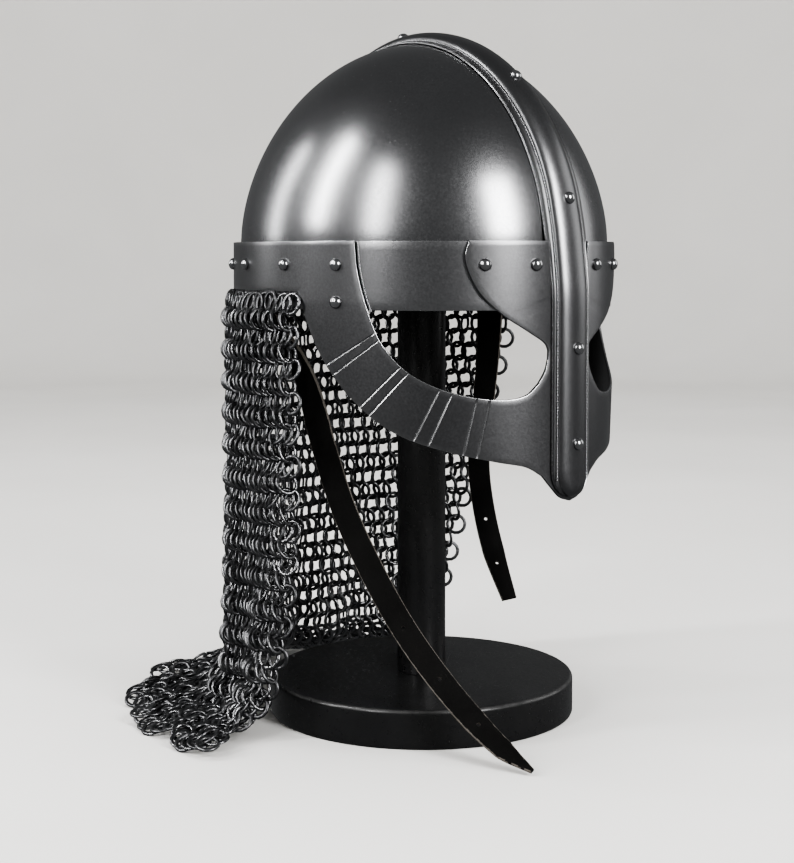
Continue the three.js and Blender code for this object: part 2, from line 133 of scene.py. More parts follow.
def tube(sections):
    """A closed bar: rings of points, row by row, joined into a skin, with a fan over each end."""
    rows, around = sections.shape[:2]
    skin = grid(rows, around, round_columns=True)
    ring, after = np.arange(around), (np.arange(around) + 1) % around
    middles = rows * around + np.array([0, 1])
    first = np.stack([ring, after, np.full(around, middles[0])], -1)
    last = np.stack([after, ring, np.full(around, middles[1])], -1)
    last[:, :2] += (rows - 1) * around
    points = np.concatenate([sections.reshape(-1, 3), sections[0].mean(0)[None], sections[-1].mean(0)[None]])
    return points, np.concatenate([skin, first, last])


def turned(profile, around, squeeze=1.0):
    """A closed solid of revolution about Z: each (distance, height) of the profile goes round a circle whose
    X is squeezed. The profile starts and ends on the axis, or closes on itself."""
    r, z = np.array(profile, float).T
    turn = np.linspace(0, 2 * np.pi, around, endpoint=False)[:, None]
    points = np.stack(np.broadcast_arrays(squeeze * r * np.cos(turn), r * np.sin(turn), z), -1)
    on_axis = r[0] < 1e-6 and r[-1] < 1e-6
    return points.reshape(-1, 3), grid(around, len(r), round_rows=True, round_columns=not on_axis)


def plate(outer, inner, mark, mirrored=False):
    """A closed plate between two grids of points, the same size, with a wall along each border. When it is
    half of a mirrored piece, faces in the middle plane go, and its mirror image is welded on."""
    rows, columns = outer.shape[:2]
    size = rows * columns
    n = np.arange(size).reshape(rows, columns)
    skin = grid(rows, columns)
    triangles = [skin, skin[:, ::-1] + size]
    for border, way in ((n[0], 1), (n[-1], -1), (n[:, 0], -1), (n[:, -1], 1)):
        a, b = border[:-1], border[1:]
        pair = np.concatenate([np.stack([a, b, b + size], -1), np.stack([a, b + size, a + size], -1)])
        triangles.append(pair[:, ::way])
    points = np.concatenate([outer.reshape(-1, 3), inner.reshape(-1, 3)])
    triangles = np.concatenate(triangles)
    # the inner face is marked -1, which the finish paints near black
    mark = np.concatenate([mark.ravel(), np.full(size, -1.0)])
    if mirrored:
        level = np.abs(points[:, 0])[triangles].max(1) < 1e-6
        triangles = triangles[~level]
        other = points * [-1, 1, 1]
        triangles = np.concatenate([triangles, triangles[:, ::-1] + len(points)])
        points, mark = np.concatenate([points, other]), np.concatenate([mark, mark])
    return weld(points, triangles, mark)


def added(name, data):
    """A new object in the scene, at the origin."""
    made = bpy.data.objects.new(name, data)
    bpy.context.scene.collection.objects.link(made)
    return made


def laid(way):
    """The turn, as a matrix for rows of points, that takes the upward direction to another."""
    return np.array(Vector((0, 0, 1)).rotation_difference(Vector(way)).to_matrix()).T


def piece(name, points, triangles, material, nodes=(), marks=None, crease=38):
    """A mesh from points in millimetres and triangles, smooth but for edges sharper than the crease in
    degrees. It rides on the root body and stands for the named nodes."""
    triangles = outward(points, triangles)
    mesh = bpy.data.meshes.new(name)
    mesh.vertices.add(len(points))
    mesh.vertices.foreach_set("co", (points * MM).astype(np.float32).ravel())
    mesh.loops.add(triangles.size)
    mesh.loops.foreach_set("vertex_index", triangles.astype(np.int32).ravel())
    mesh.polygons.add(len(triangles))
    mesh.polygons.foreach_set("loop_start", np.arange(0, triangles.size, 3, dtype=np.int32))
    mesh.update(calc_edges=True)
    mesh.validate()
    mesh.shade_smooth()
    if crease:
        mesh.set_sharp_from_angle(angle=math.radians(crease))
    for label, values in (marks or {}).items():
        mesh.attributes.new(label, "FLOAT", "POINT").data.foreach_set("value", values.astype(np.float32))
    mesh.materials.append(material)
    made = added(name, mesh)
    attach(made, "root")
    if nodes:
        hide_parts(*nodes)
    return made


# --- finishes ---

LONG_SCRATCHES, EVEN_SCRATCHES = (900.0, 900.0, 60.0), (700.0, 700.0, 700.0)  # per metre, along each axis


def node(tree, kind, inputs=(), **settings):
    """A node with its settings made and its inputs set to values or linked to other nodes' outputs."""
    made = tree.nodes.new(kind)
    for key, value in settings.items():
        setattr(made, key, value)
    for key, value in dict(inputs).items():
        if isinstance(value, bpy.types.NodeSocket):
            tree.links.new(value, made.inputs[key])
        else:
            made.inputs[key].default_value = value
    return made


def effect(name, inputs, outputs):
    """An empty node group: a place and named numbers or vectors go in, and named numbers come out."""
    tree = bpy.data.node_groups.new(name, "ShaderNodeTree")
    tree.interface.new_socket("Place", in_out="INPUT", socket_type="NodeSocketVector")
    for label, value in inputs.items():
        kind = "NodeSocketVector" if isinstance(value, tuple) else "NodeSocketFloat"
        tree.interface.new_socket(label, in_out="INPUT", socket_type=kind).default_value = value
    for label in outputs:
        tree.interface.new_socket(label, in_out="OUTPUT", socket_type="NodeSocketFloat")
    return tree, tree.nodes.new("NodeGroupInput").outputs, tree.nodes.new("NodeGroupOutput").inputs


def stretch(tree, value, low, high, to_low, to_high):
    """The value carried from one range to another, and held at its ends."""
    inputs = {0: value, 1: low, 2: high, 3: to_low, 4: to_high}
    return node(tree, "ShaderNodeMapRange", inputs).outputs[0]


def combined(tree, first, second, operation="ADD"):
    return node(tree, "ShaderNodeMath", {0: first, 1: second}, operation=operation).outputs[0]


def grain_effect():
    """Grain: two sizes of noise added. Cloud: slow noise, for the oil's and the forge's uneven tone."""
    sizes = {"Grains per metre": 900.0, "Clouds per metre": 14.0}
    tree, given, gives = effect("forged_grain", sizes, ["Grain", "Cloud"])
    fine = node(tree, "ShaderNodeTexNoise",
                {"Vector": given["Place"], "Scale": given["Grains per metre"], "Detail": 4.0,
                 "Roughness": 0.6})
    cloud = node(tree, "ShaderNodeTexNoise",
                 {"Vector": given["Place"], "Scale": given["Clouds per metre"], "Detail": 3.0,
                  "Roughness": 0.55, "Distortion": 0.4})
    tree.links.new(stretch(tree, fine.outputs[0], 0.3, 0.7, 0.0, 1.0), gives["Grain"])
    tree.links.new(stretch(tree, cloud.outputs[0], 0.32, 0.68, 0.0, 1.0), gives["Cloud"])
    return tree


def wear_and_highlight_effect():
    """Where a plate's edge is painted brighter, partly for handling's wear and partly as a painted highlight
    where its rounding catches the light: the mesh's own edge mark, broken up by noise. The mark is -1 on the
    inside of a plate, which is painted near black."""
    sizes = {"Breaks per metre": 160.0, "Evenness": 0.55}
    tree, given, gives = effect("edge_wear_and_highlight", sizes, ["Mask", "Inside"])
    mark = node(tree, "ShaderNodeAttribute", attribute_name="edge")
    broken = node(tree, "ShaderNodeTexNoise",
                  {"Vector": given["Place"], "Scale": given["Breaks per metre"], "Detail": 3.0})
    rough = stretch(tree, broken.outputs[0], 0.35, 0.6, given["Evenness"], 1.0)
    edge = stretch(tree, mark.outputs["Fac"], 0.0, 1.0, 0.0, 1.0)
    tree.links.new(combined(tree, edge, rough, "MULTIPLY"), gives["Mask"])
    tree.links.new(stretch(tree, mark.outputs["Fac"], -0.6, -0.1, 1.0, 0.0), gives["Inside"])
    return tree


def scratch_effect():
    """Fine scratches: noise drawn out along one direction, kept only at its narrow peaks."""
    tree, given, gives = effect("fine_scratches", {"Across": LONG_SCRATCHES}, ["Lines"])
    place = node(tree, "ShaderNodeVectorMath", {0: given["Place"], 1: given["Across"]}, operation="MULTIPLY")
    lines = node(tree, "ShaderNodeTexNoise", {"Vector": place.outputs[0], "Scale": 1.0, "Detail": 2.0})
    tree.links.new(stretch(tree, lines.outputs[0], 0.42, 0.62, 0.0, 1.0), gives["Lines"])
    return tree


GRAIN, WEAR_AND_HIGHLIGHT, SCRATCHES = grain_effect(), wear_and_highlight_effect(), scratch_effect()


def placed(tree, group, **inputs):
    """A group's outputs, with its inputs given by name."""
    inputs = {label.replace("_", " "): value for label, value in inputs.items()}
    return node(tree, "ShaderNodeGroup", inputs, node_tree=group).outputs


def blended(tree, share, first, second):
    """One colour turning into another by a share."""
    first, second = (v if isinstance(v, bpy.types.NodeSocket) else (*v, 1) for v in (first, second))
    return node(tree, "ShaderNodeMix", {0: share, 6: first, 7: second}, data_type="RGBA").outputs[2]


def finish_named(name, **settings):
    """A new material with its shader, whose plain settings are given, and the object's own coordinates."""
    material = bpy.data.materials.new(name)
    material.use_nodes = True
    tree = material.node_tree
    shader = tree.nodes["Principled BSDF"]
    for label, value in settings.items():
        shader.inputs[label.replace("_", " ")].default_value = value
    return material, tree, shader, node(tree, "ShaderNodeTexCoord").outputs["Object"]


def relief(tree, shader, strength, depth, height):
    """A surface's relief, by a height that changes over it."""
    bump = node(tree, "ShaderNodeBump", {"Strength": strength, "Distance": depth, "Height": height})
    tree.links.new(bump.outputs[0], shader.inputs["Normal"])


def steel(tone, blue=1.02):
    """A grey a little bluer than neutral."""
    return tone, tone, tone * blue


# the near-black colour painted on a plate's inside
INSIDE_NEAR_BLACK = (0.03, 0.03, 0.03)
GRAIN_SHARE, SCRATCH_SHARE = 0.6, 0.4  # of the gloss and the relief
WORN_GLOSS = 0.7  # what a marked edge, worn and painted with a highlight, keeps of the plate's roughness


def iron(name, dark, light, bright, smooth, rough, depth=0.00002, grains=900.0, brushed=LONG_SCRATCHES):
    """Oiled iron plate: two tones in clouds, brighter and smoother along its marked edges, which are partly
    worn and partly painted with a highlight, near black on its inside, with fine grain and scratches in its
    gloss and its relief."""
    material, tree, shader, place = finish_named(name, Metallic=1.0)
    grain = placed(tree, GRAIN, Place=place, Grains_per_metre=grains)
    wear_and_highlight = placed(tree, WEAR_AND_HIGHLIGHT, Place=place)
    worn_and_highlit = wear_and_highlight["Mask"]
    lines = placed(tree, SCRATCHES, Place=place, Across=brushed)["Lines"]
    mottle = combined(tree, grain["Cloud"], grain["Grain"], "MULTIPLY")
    tone = blended(tree, mottle, steel(dark), steel(light))
    # marked edges are painted brighter: partly wear, partly a painted highlight where the rounding catches
    # the light
    tone = blended(tree, worn_and_highlit, tone, steel(bright, 1.01))
    tree.links.new(blended(tree, wear_and_highlight["Inside"], tone, INSIDE_NEAR_BLACK), shader.inputs["Base Color"])
    mixed = combined(tree, combined(tree, grain["Grain"], GRAIN_SHARE, "MULTIPLY"),
                     combined(tree, lines, SCRATCH_SHARE, "MULTIPLY"))
    gloss = stretch(tree, mixed, 0.0, 1.0, smooth, rough)
    shine = stretch(tree, worn_and_highlit, 0.0, 1.0, 1.0, WORN_GLOSS)
    tree.links.new(combined(tree, gloss, shine, "MULTIPLY"), shader.inputs["Roughness"])
    relief(tree, shader, 0.35, depth, mixed)
    return material


def wire_iron():
    """Dark oiled wire: every ring has its own tone and gloss, rubbed brighter where the grain is high."""
    material, tree, shader, place = finish_named("mail_wire", Metallic=1.0)
    grain = placed(tree, GRAIN, Place=place, Grains_per_metre=1400.0, Clouds_per_metre=60.0)
    own = node(tree, "ShaderNodeAttribute", attribute_name="ring").outputs["Fac"]
    tone = blended(tree, own, (0.09, 0.09, 0.093), (0.20, 0.20, 0.205))
    rubbed = combined(tree, stretch(tree, grain["Grain"], 0.45, 0.95, 0.0, 0.7), grain["Cloud"], "MULTIPLY")
    tree.links.new(blended(tree, rubbed, tone, (0.42, 0.42, 0.42)), shader.inputs["Base Color"])
    tree.links.new(stretch(tree, own, 0.0, 1.0, 0.40, 0.24), shader.inputs["Roughness"])
    relief(tree, shader, 0.4, 0.00006, grain["Grain"])
    return material


def leather(name, dark, light, rough, pebble):
    """Black dressed leather: pebbled relief from cells, with paler creases where it has been handled."""
    material, tree, shader, place = finish_named(name, Specular_IOR_Level=0.04)
    cells = node(tree, "ShaderNodeTexVoronoi", {"Vector": place, "Scale": pebble, "Randomness": 1.0},
                 feature="SMOOTH_F1")
    grain = placed(tree, GRAIN, Place=place, Grains_per_metre=700.0, Clouds_per_metre=30.0)
    tree.links.new(blended(tree, grain["Cloud"], dark, light), shader.inputs["Base Color"])
    gloss = stretch(tree, grain["Grain"], 0.0, 1.0, rough - 0.08, rough + 0.1)
    tree.links.new(gloss, shader.inputs["Roughness"])
    height = combined(tree, cells.outputs["Distance"], combined(tree, grain["Grain"], 0.35, "MULTIPLY"))
    relief(tree, shader, 0.35, 0.00018, height)
    return material


def lacquer():
    """Black satin lacquer on turned wood: its gloss drifts a little, and the rounded edge is paler, partly
    worn and partly a painted highlight line.
    """
    material, tree, shader, place = finish_named("stand_lacquer", Specular_IOR_Level=0.5)
    grain = placed(tree, GRAIN, Place=place, Grains_per_metre=500.0, Clouds_per_metre=18.0)
    worn_and_highlit = placed(tree, WEAR_AND_HIGHLIGHT, Place=place)["Mask"]
    black = blended(tree, grain["Cloud"], (0.006, 0.006, 0.0065), (0.011, 0.011, 0.011))
    tree.links.new(blended(tree, worn_and_highlit, black, (0.05, 0.05, 0.05)), shader.inputs["Base Color"])
    tree.links.new(stretch(tree, grain["Grain"], 0.0, 1.0, 0.26, 0.36), shader.inputs["Roughness"])
    relief(tree, shader, 0.15, 0.00003, grain["Grain"])
    return material


DOME_IRON = iron("dome_iron", 0.24, 0.32, 0.6, 0.225, 0.275, depth=0.000006, brushed=EVEN_SCRATCHES)
BAND_IRON = iron("band_iron", 0.23, 0.31, 0.6, 0.28, 0.34, depth=0.000009, brushed=EVEN_SCRATCHES)
# the guard's and the comb's iron is the dome's iron made darker: painted shade
GUARD_IRON = iron("guard_iron", 0.17, 0.24, 0.6, 0.29, 0.35, depth=0.000009, brushed=EVEN_SCRATCHES)
COMB_IRON = iron("comb_iron", 0.18, 0.24, 0.5, 0.29, 0.35, depth=0.000003, brushed=EVEN_SCRATCHES)
RIVET_IRON = iron("rivet_iron", 0.33, 0.42, 0.6, 0.16, 0.26, grains=1500.0)
BEAD_IRON = iron("beading_iron", 0.26, 0.34, 0.7, 0.24, 0.32, grains=1500.0)
MAIL_WIRE = wire_iron()
STRAP_LEATHER = leather("strap_leather", (0.003, 0.0029, 0.0028), (0.006, 0.0058, 0.0056), 0.6, 620.0)
CUT_LEATHER = leather("strap_cut_edge", (0.075, 0.068, 0.06), (0.12, 0.11, 0.10), 0.7, 1100.0)
LACQUER = lacquer()

# --- skull and brow band ---

BEVEL, BEVEL_DROP = 0.45, 0.35  # width and depth of the rounding along a plate's edges
BEVEL_STEPS = np.array([0, 0.08, 0.25, 0.55, 1.0])
RIM_CHAMFER = 0.4  # of the skull's rim
SKULL_STEPS = 192  # points round the skull
BAND_FOOT, BAND_OPEN = 227, 13.2  # the band's lower edge, and half of its gap behind the comb


def fallen(distance):
    """How far a plate's outer face has fallen at a distance from its edge: a quarter of an ellipse."""
    share = np.clip(1 - distance / BEVEL, 0, 1)
    return BEVEL_DROP * (1 - np.sqrt(1 - share**2))


def edge_mark(distance):
    """1 on a plate's edge, which is worn and painted with a highlight, falling to 0 just past its rounding.
    """
    return np.clip(1.25 - distance / BEVEL, 0, 1)


def spread(width, count):
    """Distances across a plate, close together over both of its rounded edges."""
    near = BEVEL_STEPS * BEVEL
    between = BEVEL + (width - 2 * BEVEL) * np.linspace(0, 1, count + 1)[1:-1]
    return np.concatenate([near, between, width - near[::-1]])


def make_skull():
    """The cap: the dome's outline outside, the same a plate's thickness further in, and a chamfered rim
    between them, turned about the helmet's axis."""
    quarter = np.linspace(0, 90, 61)
    outside = np.stack(dome_line(quarter, 0), -1)
    inside = np.stack(dome_line(quarter, -PLATE), -1)[::-1]
    outside[-1, 0] = inside[0, 0] = 0
    rim = [[inside[-1, 0], RIM + RIM_CHAMFER], [inside[-1, 0] + RIM_CHAMFER, RIM],
           [outside[0, 0] - RIM_CHAMFER, RIM], [outside[0, 0], RIM + RIM_CHAMFER]]
    profile = np.concatenate([inside, rim, outside])
    points, triangles = turned(profile, SKULL_STEPS, HALF_WIDTH / HALF_LENGTH)
    # the inside is marked -1, painted near black
    mark = np.tile(np.repeat([-1.0, 0.0], [len(inside) + 2, len(outside) + 2]), SKULL_STEPS)
    points, triangles, mark = weld(points, triangles, mark)
    piece("skull_cap", points, triangles, DOME_IRON, ["skull"], {"edge": mark})


def make_band():
    """The brow band: the wall from one side of its gap round to the other, from its foot to the brow."""
    front = math.degrees(math.asin(BAND_OPEN / HALF_WIDTH))
    angle = np.linspace(front, 360 - front, 361)[:, None]
    up = spread(BROW - BAND_FOOT, 8)
    drop = np.minimum(up, BROW - BAND_FOOT - up)
    outer = wall(angle, BAND_FOOT + up, BAND_OUT + PLATE - fallen(drop))
    inner = wall(angle, BAND_FOOT + up, BAND_OUT)
    mark = np.broadcast_to(edge_mark(drop), outer.shape[:2])
    points, triangles, mark = plate(outer, inner, mark)
    piece("brow_band_plate", points, triangles, BAND_IRON, ["brow_band"], {"edge": mark})


# --- the guard ---

# Half of the guard is a ribbon between the rim, which runs along the top, round the eye and up the brow
# tab, and the edge, which runs along the foot, round the cheek, to the nasal's tip and up the middle.
# Each leg gives both lines as (angle, height), and how many steps it takes.
TEMPLE = ([[64.5, 262], [63.8, 248], [61.3, 230], [57, 210], [50, 196], [41, 187.8], [32, 183.8],
           [22.5, 182.4], [16.5, 184.3], [12.3, 190]],
          [[82.7, 236], [80, 221], [74, 198.6], [64.4, 178], [54, 164.8], [41, 156.8], [26, 151],
           [16.5, 147.7], [11.3, 143]])
GUARD_LEGS = [
    ([[180, 262], [64.5, 262]], [[180, 236], [82.7, 236]], 96),
    (*TEMPLE, 110),
    ([[12.3, 190], [9.8, 196.5], [8.8, 202]], [[11.3, 143], [8, 137], [4, 131], [0, 129]], 16),
    ([[8.8, 202], [8.6, 206.5]], [[0, 129], [0, 200]], 6),
    ([[8.6, 206.5], [9.6, 210], [14.5, 215.4], [20, 221]], [[0, 200], [0, 234]], 16),
    ([[20, 221], [23.3, 224.6]], [[0, 234], [7.4, 234]], 4),
    ([[23.3, 224.6], [29.6, 235], [33.2, 247], [34.1, 255], [33, 262]], [[7.4, 234], [8.3, 262]], 26),
]
# The engraved lines across the cheek: shares of the way along the temple's rim and along its edge.
ENGRAVED = [(0.410, 0.302), (0.442, 0.345), (0.568, 0.484), (0.600, 0.521), (0.702, 0.659), (0.737, 0.696),
            (0.802, 0.782), (0.835, 0.815)]
ENGRAVED_WIDTH, ENGRAVED_DEPTH = 0.0042, 0.4  # half-width, as a share of the way, and depth
ENGRAVED_FROM, ENGRAVED_FULL = 0.2, 0.8  # distances from the plate's edge where a line starts and is deep
ENGRAVED_HIGHLIGHT = 2.0, 0.45  # a painted highlight along a line, as an edge mark for its depth, and the most of it
UNDER_COMB, COMB_COVERS = 7, 4  # the edge's angle, and the width along it, that the comb hides, left without the worn edge and its painted highlight


def guard_ribs():
    """The rim's and the edge's point at every rib, and how deep an engraved line lies there. Along the
    temple, the shares of both lines pass through each engraved pair, and ribs crowd into each line."""
    rims, edges, cuts = [], [], []
    for rim, edge, steps in GUARD_LEGS:
        share = np.linspace(0, 1, steps + 1)[1 if rims else 0:]
        rim_share = edge_share = share
        cut = np.zeros(len(share))
        if rim is TEMPLE[0]:
            knots = np.array([(0, 0), *ENGRAVED, (1, 1)])
            middle = knots.mean(1)
            lines = middle[1:-1, None]
            crowd = lines + ENGRAVED_WIDTH * np.array([-1.1, -1, -0.5, 0, 0.5, 1, 1.1])
            share = np.unique(np.concatenate([share, crowd.ravel()]))
            rim_share, edge_share = (np.interp(share, middle, knots[:, k]) for k in (0, 1))
            cut = ENGRAVED_DEPTH * np.max(np.maximum(0, 1 - np.abs(share - lines) / ENGRAVED_WIDTH), 0)
        rims.append(curve(rim, rim_share))
        edges.append(curve(edge, edge_share))
        cuts.append(cut)
    return np.concatenate(rims), np.concatenate(edges), np.concatenate(cuts)


def make_guard():
    """The guard: ribs from its edge to its rim laid on the wall, with rounded edges and engraved lines, and
    the other half as its mirror image."""
    rim, edge, cut = guard_ribs()
    width = np.linalg.norm(wall(*rim.T, GUARD_OUT) - wall(*edge.T, GUARD_OUT), axis=1)[:, None]
    near = BEVEL_STEPS * BEVEL
    between = near[-1] + (width - 2 * near[-1]) * np.linspace(0, 1, 13)[1:-1]
    across = np.concatenate([np.tile(near, (len(width), 1)), between, width - near[::-1]], 1)
    place = edge[:, None] + (rim - edge)[:, None] * (across / width)[..., None]
    close = np.minimum(across, width - across)
    top_edge = np.zeros(len(width))
    top_edge[-1] = BEVEL_DROP * 0.8
    engraved = cut[:, None] * np.clip((close - ENGRAVED_FROM) / (ENGRAVED_FULL - ENGRAVED_FROM), 0, 1)
    drop = np.maximum(np.maximum(fallen(close), engraved), top_edge[:, None])
    angle, z = place[..., 0], place[..., 1]
    outer = wall(angle, z, GUARD_OUT + PLATE - drop)
    inner = wall(angle, z, GUARD_OUT)
    # the mark: the edges, worn and painted with a highlight, and a painted highlight along each engraved line
    mark = np.maximum(edge_mark(close), np.clip(engraved * ENGRAVED_HIGHLIGHT[0], 0, ENGRAVED_HIGHLIGHT[1]))
    hidden = edge[:, 0] < UNDER_COMB
    mark[hidden] *= (across > COMB_COVERS)[hidden]
    points, triangles, mark = plate(outer, inner, mark, mirrored=True)
    piece("spectacle_guard", points, triangles, GUARD_IRON, ["guard"], {"edge": mark})


# --- the comb ---

RIDGE_HALF, BEAD_AT, STRIP = 10.4, 11.1, 1.2  # the ridge's half-width, the beading's, the strip's thickness
DISH = 80  # the radius to which the strip is dished
STRIP_HALF_DOME, STRIP_HALF_FACE = 15.5, 13.8
RIDGE_FACE, RIDGE_CROWN = 4.9, 5.6  # the ridge's height on the face and over the crown
COMB_FACE = [[112, 131], [112, 160], [112, 190], [112, 215], [111.8, 236], [110.8, 247], [109.5, 258],
             [108.1, 268]]


def comb_control():
    """The comb's underside in the middle plane: up the face, then the dome's outline from a quarter turn's
    10 degrees over the crown to 1.5 degrees behind, as points with X nought."""
    up = np.stack(dome_line(np.arange(10, 90, 5.0), 0.5), -1)
    down = np.stack(dome_line(np.append(np.arange(85, 5, -5.0), 1.5), 0.5), -1)
    ahead = np.concatenate([COMB_FACE, up, [[0, CROWN + 0.5]]]) * [-1, 1]
    line = np.concatenate([ahead, down])
    return np.concatenate([np.zeros((len(line), 1)), line], 1)


COMB_LINE = comb_control()
COMB_LENGTH = 468.5
TOE, BLUNT, HEEL = 14, 5, 2.2  # the ends narrow over the toe's length, and thin over the other two
RIDGE_FULLNESS = 2.2  # of the ridge's section: 2 would be an ellipse
STRIP_DIP, STRIP_FALL = 0.75, 0.5  # how far the strip sinks between its edges, and falls at its outer edge
RIDGE_POINTS = 17  # across half of the ridge


def comb_place(at):
    """The comb's line at a share of its length, with its outward direction: the slope turned a quarter."""
    p = curve(COMB_LINE, at)
    slope = unit(curve(COMB_LINE, np.minimum(at + 5e-4, 1)) - curve(COMB_LINE, np.maximum(at - 5e-4, 0)))
    return p, np.stack([np.zeros(len(p)), -slope[:, 2], slope[:, 1]], -1)


def comb_widths(p):
    """The strip's half-width and the ridge's height along the comb."""
    behind = (p[:, 1] > 0).astype(float)
    over_dome = np.maximum(eased(p[:, 2], 259, 264), behind)
    half = STRIP_HALF_FACE + (STRIP_HALF_DOME - STRIP_HALF_FACE) * over_dome
    ridge = RIDGE_FACE + (RIDGE_CROWN - RIDGE_FACE) * eased(p[:, 2], 250, 360)
    return half, ridge


def lift(points, way, x, height):
    """Points across a strip that is dished to lie on the dome: height less x^2 / 160 along the way out."""
    out = points + way * (height - x**2 / (2 * DISH))[..., None]
    out[..., 0] += x
    return out


def rounded(distance, over):
    """0 at an end and 1 from a distance on, as a quarter circle: the root of 1 - (1 - share)^2."""
    return np.sqrt(np.maximum(0, 1 - (1 - np.minimum(distance / over, 1)) ** 2))


def make_comb():
    """The comb: a closed bar along its line, whose half-section is a half-round ridge, a dipped strip and
    a dished underside."""
    ends = np.array([0, 0.15, 0.5, 1.1, 2, 3.2, 4.8, 7, 10, 14])
    at = np.concatenate([ends / COMB_LENGTH, np.linspace(16, COMB_LENGTH - 6, 300) / COMB_LENGTH,
                         1 - ends[4::-1] / COMB_LENGTH])
    p, way = comb_place(at)
    half, ridge = comb_widths(p)
    toe, blunt = (rounded(at * COMB_LENGTH, over) for over in (TOE, BLUNT))
    heel = rounded((1 - at) * COMB_LENGTH, HEEL)
    part = np.sin(np.radians(np.linspace(0, 90, RIDGE_POINTS)))  # of the half-width, crowded at its foot
    shape = np.sqrt(np.maximum(0, 1 - part**RIDGE_FULLNESS))
    ridge_x, ridge_h = RIDGE_HALF * part, STRIP + (ridge[:, None] - STRIP) * shape
    flat = np.array([0, 0.35, 0.7, 0.86, 0.94, 0.985, 1.0])
    strip_x = RIDGE_HALF + 0.2 + (half[:, None] - RIDGE_HALF - 0.2) * flat
    strip_h = (STRIP - STRIP_DIP * np.sin(np.pi * flat) ** 0.7 * (flat < 1)
               - STRIP_FALL * eased(flat, 0.93, 1.0))
    rows = len(at)
    x = np.concatenate([np.tile(ridge_x, (rows, 1)), strip_x, half[:, None] * [[1.0, 0.5]]], 1)
    strip_h = np.broadcast_to(strip_h, (rows, len(flat)))
    h = np.concatenate([ridge_h, strip_h, np.zeros((rows, 2))], 1)
    h = h * np.minimum(blunt, heel)[:, None]
    x = x * toe[:, None] ** 0.9
    x = np.concatenate([x, -x[:, :0:-1]], 1)
    h = np.concatenate([h, h[:, :0:-1]], 1)
    sections = lift(p[:, None], way[:, None], x, h)
    points, triangles = tube(sections)
    edge = np.zeros(sections.shape[:2])
    worn_and_highlit = RIDGE_POINTS + len(flat) + np.array([-3, -2, -1])  # the last points of the strip, its outer edge, worn and painted with a highlight
    edge[:, worn_and_highlit] = edge[:, -worn_and_highlit] = [0.5, 1, 1]
    mark = np.concatenate([edge.ravel(), [0, 0]])
    points, triangles, mark = weld(points, triangles, mark)
    piece("comb_ridge", points, triangles, COMB_IRON, ["comb"], {"edge": mark})


BEAD_RADIUS, BROW_BEAD_RADIUS, PITCH, SWELLING = 0.42, 0.5, 1.6, 0.33
BEAD_STEP = 0.42  # between the sections of the comb's beading
BROW_SHARE = 0.315  # of the temple's rim that the brow edging follows
BROW_ASIDE, BROW_BELOW, BROW_PROUD = 0.62, 0.3, 0.45  # degrees, then lengths, from that rim


def twisted_wire(name, p, way, side, radius, run):
    """A twisted wire: a round section whose radius swells by a third twice round, turning with the run
    so that the swellings climb round the wire once in two pitches."""
    around = np.linspace(0, 2 * np.pi, 10, endpoint=False)
    size = radius * (1 + SWELLING * np.cos(2 * around - 2 * np.pi * run[:, None] / PITCH))
    section = way[:, None] * np.cos(around)[:, None] + side[:, None] * np.sin(around)[:, None]
    points, triangles = tube(p[:, None] + section * size[..., None])
    piece(name, points, triangles, BEAD_IRON, marks={"edge": np.zeros(len(points))}, crease=0)


def make_beading():
    """The twisted edging along both sides of the ridge, from above the toe to the back."""
    run = np.arange(9, COMB_LENGTH - 1.5, BEAD_STEP)
    p, way = comb_place(run / COMB_LENGTH)
    for label, sign in (("right", -1), ("left", 1)):
        x = np.full(len(run), sign * BEAD_AT)
        middle = lift(p, way, x, np.full(len(run), STRIP + 0.1))
        side = np.broadcast_to([1.0, 0, 0], p.shape)
        twisted_wire(f"comb_beading_{label}", middle, way, side, BEAD_RADIUS, run)


def make_brow_edging():
    """The short twisted edging where the guard's front edge crosses the band, on each side."""
    share = np.linspace(0, BROW_SHARE, 90)
    angle, z = curve(TEMPLE[0], share).T
    for label, sign in (("right", 1), ("left", -1)):
        middle = wall(sign * (angle - BROW_ASIDE), z - BROW_BELOW, BAND_OUT + PLATE + BROW_PROUD)
        slope = unit(np.gradient(middle, axis=0))
        way = unit(np.stack([middle[:, 0], middle[:, 1], 0 * z], -1))
        side = unit(np.cross(slope, way))
        run = np.append(0, np.cumsum(np.linalg.norm(np.diff(middle, axis=0), axis=1)))
        twisted_wire(f"brow_edging_{label}", middle, way, side, BROW_BEAD_RADIUS, run)


# --- rivets ---

HEAD, RISE, SHANK, TAIL, TAIL_RISE = 3.25, 2.6, 1.5, 2.3, 0.9  # radii, but for the two rises
HEAD_LIP = 0.25  # of the head, below its dome
SEAT, SLACK = 0.3, 0.8  # how far a head sinks, and what a rivet has to spare
RIVET_STEPS = 22  # points round a rivet
BAND_RIVETS = [13, 28.5, 70, 88, 108.5, 127, 146, 165]  # degrees round the band
BAND_RIVET_HEIGHT = 250
STRAP_RIVET, STRAP_GRIP = 108.5, 3.6  # the band rivet that holds a strap is this much longer
CHEEK_RIVET = 70, 231
COMB_RIVETS = [0.059, 0.163, 0.325, 0.481, 0.673, 0.83, 0.95]  # shares of the comb's length
COMB_RIVET_SUNK = 0.15


